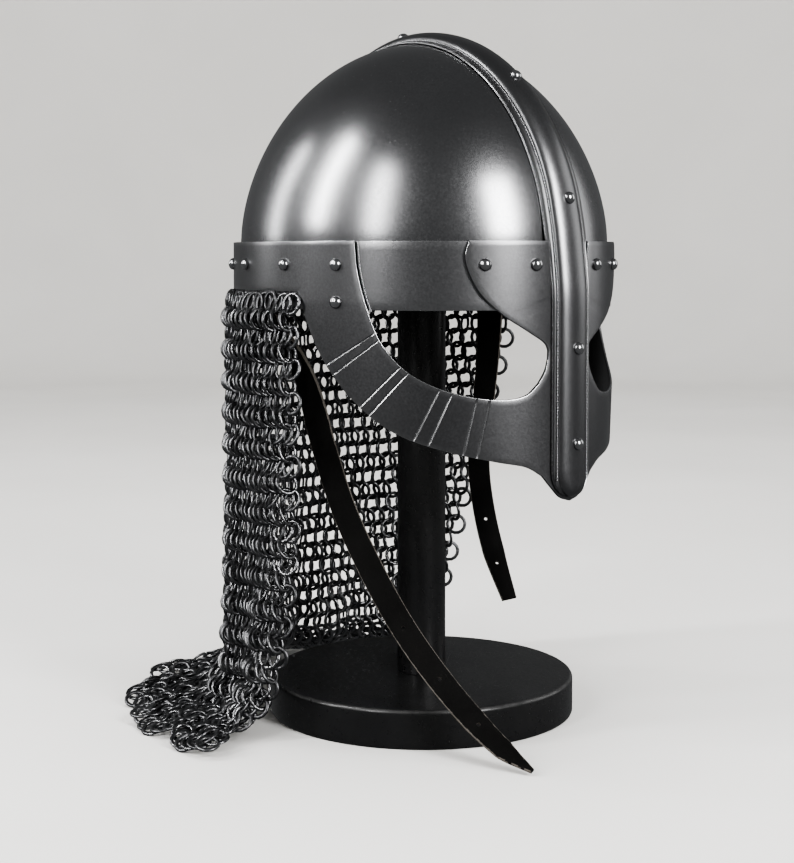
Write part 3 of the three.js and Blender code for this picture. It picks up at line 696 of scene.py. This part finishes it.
def make_rivet(name, seat, way, grip):
    """A rivet turned about its own axis, then laid along the way out: a domed head whose outline is a
    quarter ellipse, a shank and a hammered tail."""
    q = np.radians(np.linspace(0, 90, 9))
    dome = np.stack([HEAD * np.cos(q), HEAD_LIP + RISE * np.sin(q)], -1)
    dome[-1, 0] = 0
    foot = [[0, -grip - TAIL_RISE], [TAIL * 0.7, -grip - TAIL_RISE], [TAIL, -grip - 0.45], [TAIL, -grip],
            [SHANK, -grip], [SHANK, -SEAT], [HEAD * 0.94, -SEAT], [HEAD, -0.05]]
    profile = np.concatenate([foot, dome])
    points, triangles = turned(profile, RIVET_STEPS)
    mark = np.tile(np.clip(profile[:, 1] / RISE - 0.35, 0, 1), RIVET_STEPS)
    points, triangles, mark = weld(points @ laid(way) + seat, triangles, mark)
    piece(f"{name}_domed", points, triangles, RIVET_IRON, [name], {"edge": mark})


def make_rivets():
    """The rivets of the band and cheeks, each with its mirror image, and those along the comb's ridge."""
    grip = GUARD_OUT + 2 * PLATE + SEAT + SLACK
    spots = [(f"band_rivet_right_{i + 1}", angle, BAND_RIVET_HEIGHT) for i, angle in enumerate(BAND_RIVETS)]
    spots.append(("cheek_rivet_right", *CHEEK_RIVET))
    for name, angle, z in spots:
        long = grip + (STRAP_GRIP if angle == STRAP_RIVET else 0)
        seat, way = wall(angle, z, GUARD_OUT + PLATE), wall_way(angle)
        make_rivet(name, seat, way, long)
        make_rivet(name.replace("right", "left"), seat * [-1, 1, 1], way * [-1, 1, 1], long)
    at = np.array(COMB_RIVETS)
    p, way = comb_place(at)
    height = comb_widths(p)[1] - COMB_RIVET_SUNK
    for i in range(len(at)):
        make_rivet(f"comb_rivet_{i + 1}", p[i] + way[i] * height[i], way[i], height[i] + 0.5 + PLATE + SLACK)


# --- the mail curtain ---

MAIL_TOP, MAIL_OUT = 235.2, 6  # the height that it hangs from, and its distance outside the skull
FALL, BEND, BEND_TURN, SPREAD, MORE_BEHIND = 203, 24, math.radians(78), 21, 14
RIGHT_EDGE, DRAG, DRAG_BELOW = 84, 14, 127  # the right edge's angle, and its drag forwards below a height
LEFT_EDGE, LEAN, LEAN_OVER = 260, 25, 176  # the left edge's angle, and its lean forwards over a fall
FOLDS, FOLD_DEPTH, LOBES, LOBE_RISE = 6.5, 4.5, 8.5, 1.6
FLARE = 7  # degrees by which the hem's front corner turns forward on the table
RING = 5.5  # a ring's radius, to the middle of its wire
WIRE_WIDE, WIRE_THIN = 1.0, 0.5  # half-sizes of 1.6 wire beaten flat, in the ring's plane and through it
RINGS_ACROSS, RING_ROWS = 49, 34
GATHER = 0.2  # how much closer together the rings hang at the right side than behind
PACKED = [0, 0.72, 1], [0, 0.81, 1]  # shares of the rows, and of the run that they take
LEAN_SIDE, LEAN_BEHIND = 46, 30  # degrees that a row's rings turn about the fall, one way, then the other
SIDE_TURN, SIDE_NOD = 44, 13  # at the right side all rings also turn towards the front, and face up
HEM_OUT, HEM_LOBES = 6, 13  # how much further the hem's rings reach, and the lobes that they make
MAIL_RUN = 260  # about the mail's whole length, from band to hem
SIDE_ENDS = 0.12, 0.36  # shares of the way round over which the right side turns into the back
LYING_FROM = 0.78, 0.90  # shares of the way down over which the mail comes to lie
UNEVEN_ALONG, UNEVEN_DOWN, UNEVEN_LEAN, UNEVEN_NOD = 0.0012, 0.0010, 7, 6  # shares, then degrees
RING_SIDES, WIRE_SIDES = 14, 4
OFF_FLOOR = 0.1  # the lowest that a ring may reach


def mail_place(round_share, down):
    """The middle of the mail, by the shares of the way round and down: a straight fall of 203, a bend of
    radius 24 on to the table, and a spread that is longer behind. Folds deepen with the square of the
    fall, and the hem lies in low lobes."""
    arc = BEND * BEND_TURN
    run = down * (FALL + arc + SPREAD + MORE_BEHIND * np.sin(np.pi * round_share))
    bent = np.clip(run - FALL, 0, arc) / BEND
    flat = np.maximum(run - FALL - arc, 0)
    drop = np.minimum(run, FALL) + BEND * np.sin(bent) + flat * np.cos(BEND_TURN)
    outward_by = BEND * (1 - np.cos(bent)) + flat * np.sin(BEND_TURN)
    level = MAIL_TOP - drop
    right = RIGHT_EDGE + DRAG * np.maximum(0, 1 - level / DRAG_BELOW) ** 2
    left = LEFT_EDGE - LEAN * np.minimum(run, FALL + arc) / LEAN_OVER
    turn = np.radians(right - FLARE * flat / SPREAD * (1 - round_share) + (left - right) * round_share)
    fold = FOLD_DEPTH * (drop / MAIL_TOP) ** 2 * np.sin(2 * np.pi * FOLDS * round_share)
    lobe = flat / SPREAD * LOBE_RISE * (1 + np.cos(2 * np.pi * LOBES * round_share))
    out = MAIL_OUT + outward_by + fold
    x, y = -(HALF_WIDTH + out) * np.sin(turn), -(HALF_LENGTH + out) * np.cos(turn)
    return np.stack([x, y, level + lobe], -1)


def make_mail():
    """Four-in-one mail. Ring centres lie in rows, each a half-step along from the last; a ring is the circle
    centre + R (cos t a + sin t b), with b down the fall and a turned by the lean out of the mail's surface,
    and wire of an oblong section round that circle."""
    chance = np.random.default_rng(11)
    row, column = (v.ravel() for v in np.mgrid[0:RING_ROWS, 0:RINGS_ACROSS])
    share = (column + 0.1 + 0.5 * (row % 2)) / RINGS_ACROSS
    along = share - GATHER * share * (1 - share) + chance.normal(0, UNEVEN_ALONG, row.size)
    down = np.interp((row + 0.66) / (RING_ROWS + 0.3), *PACKED) + chance.normal(0, UNEVEN_DOWN, row.size)
    lobed = 0.6 + 0.4 * np.cos(2 * np.pi * HEM_LOBES * along)
    down *= 1 + HEM_OUT / MAIL_RUN * eased(down, 0.75, 1) * lobed
    side = 1 - eased(along, *SIDE_ENDS)
    step = 2e-3
    centre = mail_place(along, down)
    across = unit(mail_place(along + step, down) - mail_place(along - step, down))
    fall = mail_place(along, down + step) - mail_place(along, down - step)
    fall = unit(fall - across * np.sum(fall * across, 1, keepdims=True))
    out = np.cross(across, fall)
    lying = eased(down, *LYING_FROM)
    lean = (LEAN_BEHIND + (LEAN_SIDE - LEAN_BEHIND) * side) * (1 - 0.7 * lying)
    lean = lean * np.where(row % 2, 1, -1) + SIDE_TURN * side * (1 - lying)
    lean = np.radians(lean + chance.normal(0, UNEVEN_LEAN, row.size))
    nod = (SIDE_NOD + 10 * down) * side * (1 - lying) - 10 * lying
    nod = np.radians(nod + chance.normal(0, UNEVEN_NOD, row.size) * (1 - 0.5 * lying))
    lean, nod = lean[:, None], nod[:, None]
    a = across * np.cos(lean) + out * np.sin(lean)
    through = out * np.cos(lean) - across * np.sin(lean)
    b = fall * np.cos(nod) + through * np.sin(nod)
    through = np.cross(a, b)
    t = np.linspace(0, 2 * np.pi, RING_SIDES, endpoint=False)[:, None]
    w = np.linspace(0, 2 * np.pi, WIRE_SIDES, endpoint=False) + np.pi / 4
    radial = a[:, None, None] * np.cos(t)[..., None] + b[:, None, None] * np.sin(t)[..., None]
    points = (centre[:, None, None] + radial * (RING + WIRE_WIDE * np.sqrt(2) * np.cos(w))[:, None]
              + through[:, None, None] * (WIRE_THIN * np.sqrt(2) * np.sin(w))[:, None])
    points[..., 2] += np.maximum(0, OFF_FLOOR - points[..., 2].min((1, 2)))[:, None, None]
    skin = grid(RING_SIDES, WIRE_SIDES, round_rows=True, round_columns=True)
    tone = chance.random(row.size)
    thirds = np.array_split(np.arange(RING_ROWS), 3)
    for label, rows in zip(("upper", "middle", "hem"), thirds):
        chosen = np.isin(row, rows)
        rings = points[chosen].reshape(-1, 3)
        first = np.arange(chosen.sum())[:, None, None] * RING_SIDES * WIRE_SIDES
        triangles = (skin[None] + first).reshape(-1, 3)
        piece(f"mail_{label}_rows", rings, triangles, MAIL_WIRE,
              ["mail_curtain"] if label == "upper" else (),
              {"ring": np.repeat(tone[chosen], RING_SIDES * WIRE_SIDES)}, crease=0)


# --- chin straps ---

STRAP_THICK, STRAP_HOLE, STRAP_ROUND = 2.2, 1.0, 0.45  # thickness, then radii of the holes and the corners
CUT_EDGE = 0.3  # how much of a strap's half-width counts as its cut edge
STRAP_TURNS = 0.1, 0.4, 1  # shares of a strap's length at which it has each of its facings
STRAPS = {
    "right": dict(
        route=[[-88, 32.8, 257], [-87.9, 32.7, 240], [-84.8, 25, 218], [-79.2, 7, 190.5],
               [-78.2, -9.4, 151.7], [-77.1, -23.8, 121.7], [-73.4, -40.9, 92.4], [-67.7, -59.9, 63.8],
               [-60.2, -77.9, 40.4], [-53.6, -96.3, 21.8], [-49.1, -112.8, 9.6], [-46.3, -129.1, 2.6]],
        half=[10, 9.6, 8.2, 6.9, 6.5, 6.5, 6.5, 6.5, 6.4, 6.2, 5.2, 1.2],
        faces=[[-1, 0.36, 0], [-0.74, -0.6, 0.2], [-0.52, -0.5, 0.68]],
        holes=[0.69, 0.79, 0.885]),
    "left": dict(
        route=[[88, 32.8, 257], [87.8, 32.6, 240], [85.4, 30.6, 218], [81.9, 28.4, 195.6], [77, 28.2, 160],
               [72.5, 26.8, 129], [69.6, 20, 104], [66.4, 8, 78], [61.5, -9.5, 53.5]],
        half=[10, 9.4, 8, 6.9, 6.5, 6.5, 6.5, 6.5, 4.4],
        faces=[[-1, -0.36, 0], [-0.8, -0.6, 0.15], [-0.5, -0.78, 0.3]],
        holes=[0.76, 0.89]),
}


def strap_frame(strap, at):
    """The strap's middle, facing, across and half-width at shares of its length. The facing eases from each
    of the strap's three to the next and is kept square to the route."""
    route = np.array(strap["route"], float)
    p = curve(route, at)
    slope = unit(curve(route, np.minimum(at + 1e-3, 1)) - curve(route, np.maximum(at - 1e-3, 0)))
    first, second, last = (np.array(f, float) for f in strap["faces"])
    face = (first + (second - first) * eased(at, *STRAP_TURNS[:2])[:, None]
            + (last - second) * eased(at, *STRAP_TURNS[1:])[:, None])
    face = unit(face - slope * np.sum(face * slope, 1, keepdims=True))
    spaced = np.append(0, np.cumsum(np.linalg.norm(np.diff(route, axis=0), axis=1)))
    half = np.interp(at, spaced / spaced[-1], strap["half"])
    return p, face, np.cross(slope, face), half


def make_strap(label, strap):
    """A strip with a rounded-off section, carried along its route, and round holes punched through it."""
    at = np.linspace(0, 1, 181)
    p, face, side, half = strap_frame(strap, at)
    thick, r = STRAP_THICK / 2, STRAP_ROUND
    corner = np.radians([0, 30, 60, 90])
    right = np.stack([-r + r * np.cos(corner), thick - r + r * np.sin(corner)], -1)
    lower = right[::-1] * [1, -1]
    quarter = np.concatenate([lower, right])
    x = np.concatenate([half[:, None] + quarter[:, 0], 0 * half[:, None], -half[:, None] - quarter[::-1, 0],
                        0 * half[:, None]], 1)
    h = np.concatenate([quarter[:, 1], [thick], quarter[::-1, 1], [-thick]])
    sections = p[:, None] + side[:, None] * x[..., None] + face[:, None] * h[:, None]
    points, triangles = tube(sections)
    made = piece(f"leather_strap_{label}", points, triangles, STRAP_LEATHER,
                 [f"chin_strap_{label}"], crease=50)
    made.data.materials.append(CUT_LEATHER)
    middles = points[np.array([face.vertices[:] for face in made.data.polygons])].mean(1)
    which = np.linalg.norm(middles[:, None] - p[::4], axis=2).argmin(1) * 4
    away = np.abs(np.sum((middles - p[which]) * side[which], 1))
    made.data.polygons.foreach_set("material_index", (away > half[which] - CUT_EDGE).astype(np.int32))
    spots, ways, _, _ = strap_frame(strap, np.array(strap["holes"]))
    points, triangles = weld(*turned([[0, -5], [STRAP_HOLE, -5], [STRAP_HOLE, 5], [0, 5]], 20))
    triangles = outward(points, triangles)
    for spot, way in zip(spots, ways):
        mesh = bpy.data.meshes.new("punch")
        mesh.from_pydata(((points @ laid(way) + spot) * MM).tolist(), [], triangles.tolist())
        mesh.materials.append(CUT_LEATHER)
        punch = added("punch", mesh)
        cut = made.modifiers.new("punched", "BOOLEAN")
        cut.operation, cut.solver, cut.object = "DIFFERENCE", "EXACT", punch
        cut.material_mode = "TRANSFER"
        punched = bpy.data.meshes.new_from_object(made.evaluated_get(bpy.context.evaluated_depsgraph_get()))
        made.modifiers.clear()
        made.data = punched
        bpy.data.objects.remove(punch)


# --- the stand ---

BASE_RADIUS, BASE_HEIGHT, BASE_EDGE = 85, 20.6, 2.2
POLE_RADIUS, POLE_TOP, POLE_ROUND = 13.5, 368.4, 6.5
BASE_STEPS, POLE_STEPS = 144, 72  # points round each


def make_stand():
    """A base with a rounded upper edge, and a pole with a rounded top, both turned from their outlines."""
    q = np.radians(np.linspace(0, 90, 9))
    edge = np.stack([BASE_RADIUS - BASE_EDGE * (1 - np.cos(q)),
                     BASE_HEIGHT - BASE_EDGE * (1 - np.sin(q))], -1)
    foot = [[0, 0], [60, 0], [BASE_RADIUS - 1.1, 0], [BASE_RADIUS - 0.3, 0.3], [BASE_RADIUS, 1.1],
            [BASE_RADIUS, 4], [BASE_RADIUS, BASE_HEIGHT - 5]]
    top = [[80, BASE_HEIGHT], [60, BASE_HEIGHT], [30, BASE_HEIGHT], [0, BASE_HEIGHT]]
    profile = np.concatenate([foot, edge, top])
    points, triangles = turned(profile, BASE_STEPS)
    # the rounded edge's mark: worn lacquer and a painted highlight line
    worn_and_highlit = np.concatenate([np.zeros(len(foot)), np.sin(2 * q) ** 2 * 0.8, np.zeros(len(top))])
    mark = np.tile(worn_and_highlit, BASE_STEPS)
    points, triangles, mark = weld(points, triangles, mark)
    piece("stand_turned_base", points, triangles, LACQUER, ["stand_base"], {"edge": mark})
    crown = np.stack([POLE_RADIUS * np.cos(q) ** 0.7, POLE_TOP - POLE_ROUND * (1 - np.sin(q))], -1)
    crown[-1, 0] = 0
    foot = BASE_HEIGHT + 0.02
    levels = [[0, foot], [POLE_RADIUS - 0.3, foot], [POLE_RADIUS, foot + 0.3], [POLE_RADIUS, 60],
              [POLE_RADIUS, 150], [POLE_RADIUS, 260], [POLE_RADIUS, 340]]
    points, triangles = turned(np.concatenate([levels, crown]), POLE_STEPS)
    points, triangles = weld(points, triangles)
    piece("stand_turned_pole", points, triangles, LACQUER, ["stand_pole"],
          {"edge": np.zeros(len(points))})


make_skull()
make_band()
make_guard()
make_comb()
make_beading()
make_brow_edging()
make_rivets()
make_mail()
for strap_label, strap_shape in STRAPS.items():
    make_strap(strap_label, strap_shape)
make_stand()

# --- studio ---


def make_floor():
    """A pale round floor that sweeps up into a low wall all round: a flat disc, a quarter turn and a rise."""
    q = np.radians(np.linspace(0, 90, 17))
    sweep = np.stack([2400 + 600 * np.sin(q), 600 * (1 - np.cos(q))], -1)
    profile = np.concatenate([[[0, 0], [400, 0], [1200, 0]], sweep, [[3000, 3200]]])
    r, z = profile.T
    turn = np.linspace(0, 2 * np.pi, 96, endpoint=False)[:, None]
    points = np.stack(np.broadcast_arrays(r * np.cos(turn), r * np.sin(turn), z), -1).reshape(-1, 3)
    points, triangles = weld(points, grid(96, len(r), round_rows=True))
    mesh = bpy.data.meshes.new("studio_floor")
    mesh.from_pydata((points * MM).tolist(), [], triangles.tolist())
    mesh.shade_smooth()
    material, tree, shader, place = finish_named("studio_pale", Roughness=0.9, Specular_IOR_Level=0.2)
    cloud = placed(tree, GRAIN, Place=place, Clouds_per_metre=3.0)["Cloud"]
    tree.links.new(blended(tree, cloud, (0.76, 0.75, 0.73), (0.80, 0.79, 0.77)), shader.inputs["Base Color"])
    mesh.materials.append(material)
    floor = added("studio_floor", mesh)
    floor.visible_glossy = False


CAMERA_TURN = math.radians(43)  # the camera stands this far round from the face, on the wearer's right
CAMERA_DOWN, CAMERA_ASIDE = 2.487, 0.819  # degrees that it looks down, and left of the helmet's middle
AIM = 0.27  # the height, in metres, that the lights look at
# Name, turn and rise in degrees, then distance, width and height in metres, and power.
SOFTBOXES = [
    ("softbox_right", 40, 20, 1.4, 0.38, 0.75, 22),
    ("softbox_left", -38, 23, 1.4, 0.20, 0.85, 8),
    ("strip_left", -74, 28, 1.4, 0.12, 0.95, 13),
    ("strip_behind", -106, 18, 1.4, 0.14, 0.8, 4),
    ("fill_right", 106, 14, 1.6, 0.8, 1.0, 4),
]


def softbox(name, turn, rise, distance, width, height, power):
    """A soft light at a turn to the camera's right and a rise above the floor, in degrees, that looks at
    the helmet's middle."""
    light = bpy.data.lights.new(name, "AREA")
    light.shape, light.size, light.size_y, light.energy = "RECTANGLE", width, height, power
    made = added(name, light)
    azimuth = -CAMERA_TURN + math.radians(turn)
    level = distance * math.cos(math.radians(rise))
    made.location = (math.sin(azimuth) * level, -math.cos(azimuth) * level,
                     AIM + distance * math.sin(math.radians(rise)))
    made.rotation_euler = (Vector((0, 0, AIM)) - made.location).to_track_quat("-Z", "Y").to_euler()
    made.visible_camera = False
    return made


def make_lights():
    for settings in SOFTBOXES:
        softbox(*settings)
    ceiling = softbox("ceiling", 0, 90, 2.4, 3.0, 3.0, 75)
    ceiling.visible_glossy = False
    world = bpy.data.worlds.new("studio_air")
    world.use_nodes = True
    air = world.node_tree.nodes["Background"]
    air.inputs["Color"].default_value = (0.97, 0.985, 1.0, 1)
    air.inputs["Strength"].default_value = 0.15
    bpy.context.scene.world = world


def make_camera():
    camera = bpy.data.cameras.new("camera")
    camera.lens, camera.sensor_width, camera.shift_y = 68.08, 36, -0.12
    made = added("camera", camera)
    made.location = (-0.6245, -0.6686, 0.2538)
    turn = -CAMERA_TURN + math.radians(CAMERA_ASIDE)
    made.rotation_euler = Euler((math.radians(90 - CAMERA_DOWN), 0, turn))
    bpy.context.scene.camera = made


make_floor()
make_lights()
make_camera()
bpy.context.scene.view_settings.look = "AgX - Medium High Contrast"
